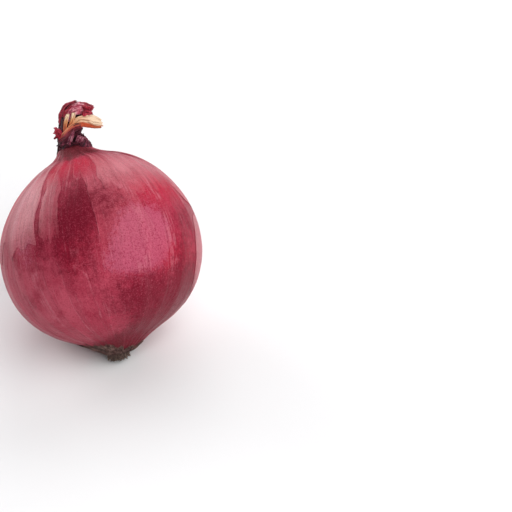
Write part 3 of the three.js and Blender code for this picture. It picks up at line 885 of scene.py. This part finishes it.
# Split fibres that fan out of the neck's left side, orange at the top to purple below
fibreFan = [
    [(-5.7, -3.6, 48.6), (-4.1, -4.6, 49.7), (-2, -5.3, 51), (0.2, -5.7, 51.8), (2.3, -5.7, 52)],
    [(-6.6, -3.8, 47.2), (-4.4, -5, 48.2), (-2.1, -5.9, 49.5), (0.3, -6.3, 50.4), (3, -6.3, 50.5)],
    [(-7.3, -3.8, 45.8), (-5.1, -5, 46.3), (-2.8, -5.9, 47.6), (-0.3, -6.1, 48.9), (3.2, -5.7, 49.2)],
    [(-7.3, -3.8, 44.6), (-5.5, -4.8, 44.6), (-3.6, -5.5, 45.7), (-1.8, -5.7, 47.5), (0.6, -5.3, 48.7)],
]


# The line of points that each place across is past, and how far it is to the next one
def linePast(lines, v):
    place = np.clip(v, 0, 1) * (len(lines) - 1)
    row = np.minimum(place.astype(int), len(lines) - 2)
    return row, (place - row)[..., None]


# A sheet laid through lines of points, smooth both along and across them
def laidSheet(lines, u, v):
    curves = np.stack([curveThrough(points, u) for points in lines])
    row, part = linePast(lines, v)
    i, j = np.indices(u.shape)
    near = [np.clip(row + step, 0, len(lines) - 1) for step in (-1, 0, 1, 2)]
    a, b, c, d = (curves[at, i, j] for at in near)
    bend = (c - a) / 2 * part * (1 - part) ** 2 - (d - b) / 2 * part**2 * (1 - part)
    eased = part * part * (3 - 2 * part)
    return b * (1 - eased) + c * eased + bend


def neckSheet(surface, sheet, crumple, seed):
    size = sheet["along"], sheet["across"], sheet["thick"]
    return sheetMesh(surface, *size, crumple, sheet["crumpleSize"], seed, seed * 1.7)


def scrap(piece, seed):
    def surface(u, v):
        spikes = np.abs(np.sin(math.pi * piece.get("spikes", 0) * v))
        length = u * (1 - piece["rag"] * (0.5 + edgeNoise(v, 0.1, seed, 2) + 0.9 * spikes) * u**2)
        width = 1 + piece["rag"] * edgeNoise(u, 0.15, seed + 5, 2)
        return laidSheet(piece["lines"], length, 0.5 + (v - 0.5) * width)

    return neckSheet(surface, scrapSheet, piece.get("crumple", scrapSheet["crumple"]), seed)


def drySkin(skin, seed):
    def surface(u, v):
        torn = skin["rag"] * u * (np.cos(5 * math.pi * v) + 0.9 * edgeNoise(v, 0.06, seed, 2))
        start, end = skin["reach"]
        along = start + (end - start) * u + torn
        ragged = 0.12 * edgeNoise(u, 0.12, seed + 4, 3) * u
        spread = skin["spread"] * (1 - 2 * v) * (1 + ragged)
        angle = np.radians(skin["side"] + spread + skin["turn"] * u)
        pleat = drySheet["pleat"] * np.cos(9 * math.pi * v + 2 * np.sin(5 * u + seed))
        return neckPoint(along, angle, through(evenly(skin["lift"]), u) + drySheet["gap"] + pleat)

    return neckSheet(surface, drySheet, drySheet["crumple"], seed)


def neckCore():
    rows, columns = neck["rings"], neck["around"]
    along = np.linspace(0, 1, rows)
    spin = np.linspace(0, 2 * math.pi, columns, endpoint=False)
    u, angle = np.meshgrid(along, spin, indexing="ij")
    twisted = angle + math.radians(neck["twist"]) * u
    folds = 0.12 * np.cos(neck["pleats"] * twisted) + 0.06 * np.cos(19 * twisted + 3 * u)
    points = neckPoint(u, angle, 0, neck["share"] * (1 + folds))
    points = points + neck["rough"] * softNoise(points, 1.6, 31, 3)[..., None] * np.array([1, 1, 0.4])
    points = np.concatenate([points.reshape(-1, 3), points[[0, -1]].mean(1)])
    faces = tubeFaces(rows, columns, flipped=True)
    return points, faces, {
        "along": np.append(u, [0, 1]),
        "across": np.append(angle / (2 * math.pi) * 4 % 1, [0, 0]),
        "rim": np.full(len(points), 1.0),
        "seed": np.full(len(points), 3.0),
    }


def addNeck():
    looks = {name: witheredMaterial(name + "Skin", *colours) for name, colours in neckLooks.items()}
    addPiece("neckCore", neckCore(), looks["maroon"], ["dry_neck"])
    for name, material in looks.items():
        chosen = [drySkin(skin, 40 + i) for i, skin in enumerate(drySkins) if skin["look"] == name]
        for i, piece in enumerate(neckScraps.values()):
            if piece["look"] == name:
                chosen.append(scrap(piece, 60 + i))
        addPiece(name + "NeckSkins", joined(chosen), material, ["dry_neck"])


print("neck")
addNeck()

# The straw-coloured leaf end
straw = {
    "flap": [
        [
            (-4.4, -3.2, 48.4), (-1.7, -4.6, 51.4), (1.6, -4.9, 53.7),
            (5.4, -4.7, 54), (8.3, -4.5, 53.2), (11, -4.6, 51),
        ],
        [
            (-3.7, -4.2, 47.9), (-1.3, -5.5, 50.2), (2.4, -6.3, 51.7),
            (5.6, -6.6, 50.7), (8, -6.4, 49.3), (11.5, -6, 48.4),
        ],
        [
            (-2.9, -3.6, 47.6), (-0.8, -4.7, 49), (3, -5.1, 49.4),
            (5.6, -5.2, 48.6), (7.6, -5.3, 48), (10, -5.4, 47.6),
        ],
    ],
    "tines": [
        [
            [(-5.7, -2.9, 47.6), (-4.5, -4.3, 51.4), (-3.4, -4.8, 53.9), (-2.1, -4.7, 56.1)],
            [(-3.9, -3.9, 47.8), (-3, -4.9, 51.3), (-2.1, -5.1, 53.5), (-1.2, -4.9, 55.8)],
        ],
        [
            [(-4.2, -3.6, 48.2), (-2.1, -4.9, 51.7), (-0.8, -5.3, 53.8), (0.1, -5.2, 56)],
            [(-2.5, -4, 48.4), (-0.4, -5.3, 51.7), (0.9, -5.5, 53.6), (1.4, -5.3, 55.9)],
        ],
    ],
    "thick": 0.4,
    "ribs": 6,
    "ribHeight": 0.14,
}


# Colours as (share of the way, colour): along the leaves, and across the fan
strawLooks = {
    "flap": [
        (0, (0.42, 0.03, 0.03)), (0.16, (0.66, 0.17, 0.06)),
        (0.34, (0.80, 0.44, 0.24)), (0.7, (0.82, 0.61, 0.43)),
    ],
    "fold": [
        (0, (0.28, 0.012, 0.03)), (0.3, (0.64, 0.12, 0.05)),
        (0.7, (0.70, 0.10, 0.035)), (0.98, (0.66, 0.22, 0.11)),
    ],
    "tines": [
        (0, (0.35, 0.02, 0.03)), (0.3, (0.62, 0.14, 0.06)),
        (0.55, (0.78, 0.36, 0.15)), (0.85, (0.86, 0.68, 0.46)),
    ],
    "fan": [
        (0, (0.76, 0.33, 0.15)), (0.26, (0.64, 0.14, 0.07)),
        (0.48, (0.30, 0.02, 0.035)), (0.85, (0.10, 0.008, 0.024)),
    ],
    "dark": (0.30, 0.085, 0.03),
    "fanDark": (0.035, 0.003, 0.010),
}


def strawBlade(rows, along, across, seed, notches):
    def surface(u, v):
        length = u * (1 - notches * np.abs(np.sin(math.pi * 3.5 * v + seed)) * u**6)
        curves = np.stack([curveThrough(points, length) for points in rows])
        row, part = linePast(rows, v)
        i, j = np.indices(u.shape)
        ridge = straw["ribHeight"] * np.cos(2 * math.pi * straw["ribs"] * v * len(rows) / 3)
        point = curves[row, i, j] * (1 - part) + curves[row + 1, i, j] * part
        return point + ridge[..., None] * np.array([0, -0.8, 0.6])

    return sheetMesh(surface, along, across, straw["thick"], 0.16, 1.5, seed, seed * 1.3)


def strawMaterial(name, stops, dark, foldStops=None, ramped="along"):
    material, add, plug = startMaterial(name)
    place, calc, noise, fitted, ramp, mixed, field, fibres = shaderTools(add, plug)
    fibre = fibres(15, 1.6, 0.3)
    grain = noise(place, 2, 3, 0.7)
    shifted = calc("MULTIPLY_ADD", fibre, 0.3, calc("SUBTRACT", field(ramped), 0.15))
    colour = ramp(shifted, stops)
    if foldStops:
        side = calc("MULTIPLY_ADD", grain, 0.12, calc("SUBTRACT", field("across"), 0.06))
        colour = mixed(fitted(side, 0.5, 0.58), colour, ramp(shifted, foldStops))
    colour = mixed(fitted(fibre, 0.48, 0.38, 0, 0.85), colour, dark)
    colour = mixed(fitted(grain, 0.42, 0.28, 0, 0.4), colour, dark)
    height = calc("MULTIPLY_ADD", fibre, 0.5, calc("MULTIPLY", grain, 0.15))
    finishMaterial(add, colour, 0.55, 0.3, height, 0.6)
    return material


def addStraw():
    looks, dark = strawLooks, strawLooks["dark"]
    leaf = strawMaterial("strawFlapLeaf", looks["flap"], dark, looks["fold"])
    flap = strawBlade(straw["flap"], 110, 60, 3, 0.035)
    addPiece("strawFlap", flap, leaf, ["straw_leaf"])
    leaf = strawMaterial("strawTineLeaf", looks["tines"], dark)
    tines = [strawBlade(rows, 80, 24, 5 + i, 0.08) for i, rows in enumerate(straw["tines"])]
    addPiece("strawTines", joined(tines), leaf, ["straw_leaf"])
    skin = strawMaterial("fibreFanSkin", looks["fan"], looks["fanDark"], ramped="across")
    fan = strawBlade(fibreFan, 90, 70, 9, 0.06)
    addPiece("fibreFan", fan, skin, ["dry_neck"])


print("straw leaf end")
addStraw()

# The roots: a corky plate with dried rootlets
roots = {
    "plate": [(0, -42.9), (3, -42.7), (3.8, -42.1), (4.3, -41.4), (4.8, -40.4), (4.8, -38), (0, -38)],
    "offset": -1.6,
    "reach": 4.3,
    "count": 170,
    "thick": (0.3, 0.7),
    "length": (0.7, 1.9),
    "seed": 7,
}


def rootPlate():
    rows, columns = 58, 72
    outline = np.array(roots["plate"])
    lengths = np.append(0, np.cumsum(np.linalg.norm(np.diff(outline, axis=0), axis=1)))
    place = np.linspace(0, lengths[-1], rows + 2)[1:-1]
    radius, height = (np.interp(place, lengths, side) for side in outline.T)
    spin = np.linspace(0, 2 * math.pi, columns, endpoint=False)
    r, a = np.meshgrid(radius, spin, indexing="ij")
    h = np.repeat(height[:, None], columns, 1)
    r = r * (1 + 0.06 * np.cos(5 * a))
    points = np.stack([r * np.cos(a), r * np.sin(a), h], -1)
    points = points * (1 + 0.03 * softNoise(points, 1.1, 77, 3)[..., None] * np.array([1, 1, 0.12]))
    ends = [[0, 0, height[0]], [0, 0, height[-1]]]
    points = np.concatenate([points.reshape(-1, 3), ends]) + np.array([roots["offset"], 0, 0])
    faces = tubeFaces(rows, columns, flipped=True)
    return points, faces, {"along": np.zeros(len(points)), "seed": np.zeros(len(points))}


def rootlet(random, share, spin):
    out = np.array([math.cos(spin), math.sin(spin), 0])
    aside = np.array([-math.sin(spin), math.cos(spin), 0])
    stray = share > 0.75 and random.random() < 0.4
    lean = 1.2 if stray else 0.35 * share
    way = out * lean + aside * random.uniform(-0.6, 0.6) - np.array([0, 0, 1])
    way /= np.linalg.norm(way)
    length = random.uniform(*roots["length"])
    thick = random.uniform(*roots["thick"])
    sunk = 0.6
    start = out * share * roots["reach"]
    start[2] = np.interp(share * roots["reach"], *np.array(roots["plate"][:4]).T)
    start = start - way * sunk + np.array([roots["offset"], 0, 0])
    steps, sides = 9, 7
    u = np.linspace(0, 1, steps)
    bend = aside * random.uniform(-0.4, 0.4) + out * random.uniform(-0.4, 0.4)
    middle = start + np.outer(u * (length + sunk), way) + np.outer(u**2 * length * 0.5, bend)
    middle = middle + np.outer(0.1 * np.sin(9 * u + spin), aside)
    sideways = np.cross(way, [0.3, 0.5, 0.8])
    sideways /= np.linalg.norm(sideways)
    angle = np.linspace(0, 2 * math.pi, sides, endpoint=False)
    half = thick / 2 * (1.1 - 0.7 * u**1.5)
    ring = np.outer(np.cos(angle), sideways) + np.outer(np.sin(angle), np.cross(way, sideways))
    points = (middle[:, None, :] + half[:, None, None] * ring[None]).reshape(-1, 3)
    faces = [face[::-1] for face in gridFaces(steps, sides, closed=True)]
    faces.append(list(range(sides)))
    faces.append(list(range((steps - 1) * sides, steps * sides))[::-1])
    fields = {"along": np.repeat(u, sides), "seed": np.full(len(points), random.uniform(0, 5))}
    return points, faces, fields


rootLook = {
    "grain": [
        (0.34, (0.016, 0.007, 0.006)), (0.5, (0.070, 0.035, 0.026)), (0.7, (0.24, 0.15, 0.115)),
    ],
    "paleRootlet": (0.38, 0.28, 0.22),
    "tip": (0.34, 0.25, 0.20),
}


def rootMaterial():
    material, add, plug = startMaterial("dryRoots")
    place, calc, noise, fitted, ramp, mixed, field, _ = shaderTools(add, plug)
    grain = noise(place, 1.6, 4, 0.7)
    tint = noise(add("CombineXYZ", X=field("seed")).outputs[0], 1.7, 1)
    colour = ramp(grain, rootLook["grain"])
    colour = mixed(fitted(tint, 0.54, 0.7, 0, 0.6), colour, rootLook["paleRootlet"])
    colour = mixed(calc("MULTIPLY", field("along"), 0.18), colour, rootLook["tip"])
    finishMaterial(add, colour, 0.8, 0.5, grain, 0.6)
    return material


# Brown ragged bases of old leaves, in a ring on the skin round the roots
rootScales = {
    "count": 52,
    "inner": 176,
    "outer": (163, 169),
    "spread": (6, 14),
    "lift": 0.06,
    "curl": 0.3,
    "thick": 0.16,
    "longSide": math.radians(-145),
    "longer": 14,
    "colours": [(0.018, 0.007, 0.007), (0.085, 0.036, 0.032), (0.28, 0.17, 0.14)],
}
goldenTurn = math.pi * (3 - math.sqrt(5))


def rootScale(random, i):
    middle = i * goldenTurn + random.uniform(-0.2, 0.2)
    longer = rootScales["longer"] * max(0, math.cos(middle - rootScales["longSide"])) ** 4
    outer = random.uniform(*rootScales["outer"]) - longer * random.uniform(0.4, 1)
    spread = math.radians(random.uniform(*rootScales["spread"]))
    curl = rootScales["curl"] * random.uniform(0.2, 1)

    def surface(u, v):
        torn = 1 - 0.3 * np.abs(edgeNoise(v, 0.2, 90 + i, 2)) * u
        down = np.radians(rootScales["inner"] + (outer - rootScales["inner"]) * u * torn)
        widening = 0.6 + 0.9 * (1 - u) + 0.2 * edgeNoise(u, 0.2, 95 + i, 2)
        around = middle + spread * (2 * v - 1) * widening
        return bulbPoint(down, around, skinRelief(down, around) + rootScales["lift"] + curl * u**3)

    return sheetMesh(surface, 20, 10, rootScales["thick"], fibreSeed=random.uniform(0, 40))


def addRootScales():
    random = np.random.default_rng(23)
    shape = joined([rootScale(random, i) for i in range(rootScales["count"])])
    material = witheredMaterial("rootScaleSkin", *rootScales["colours"], roughness=0.8)
    addPiece("rootScales", shape, material, ["bulb"])


def addRoots():
    random = np.random.default_rng(roots["seed"])
    parts = [rootPlate()]
    for i in range(roots["count"]):
        parts.append(rootlet(random, math.sqrt((i + 0.5) / roots["count"]), i * goldenTurn))
    addPiece("rootTuft", joined(parts), rootMaterial(), ["root_tuft"])


print("roots")
addRootScales()
addRoots()
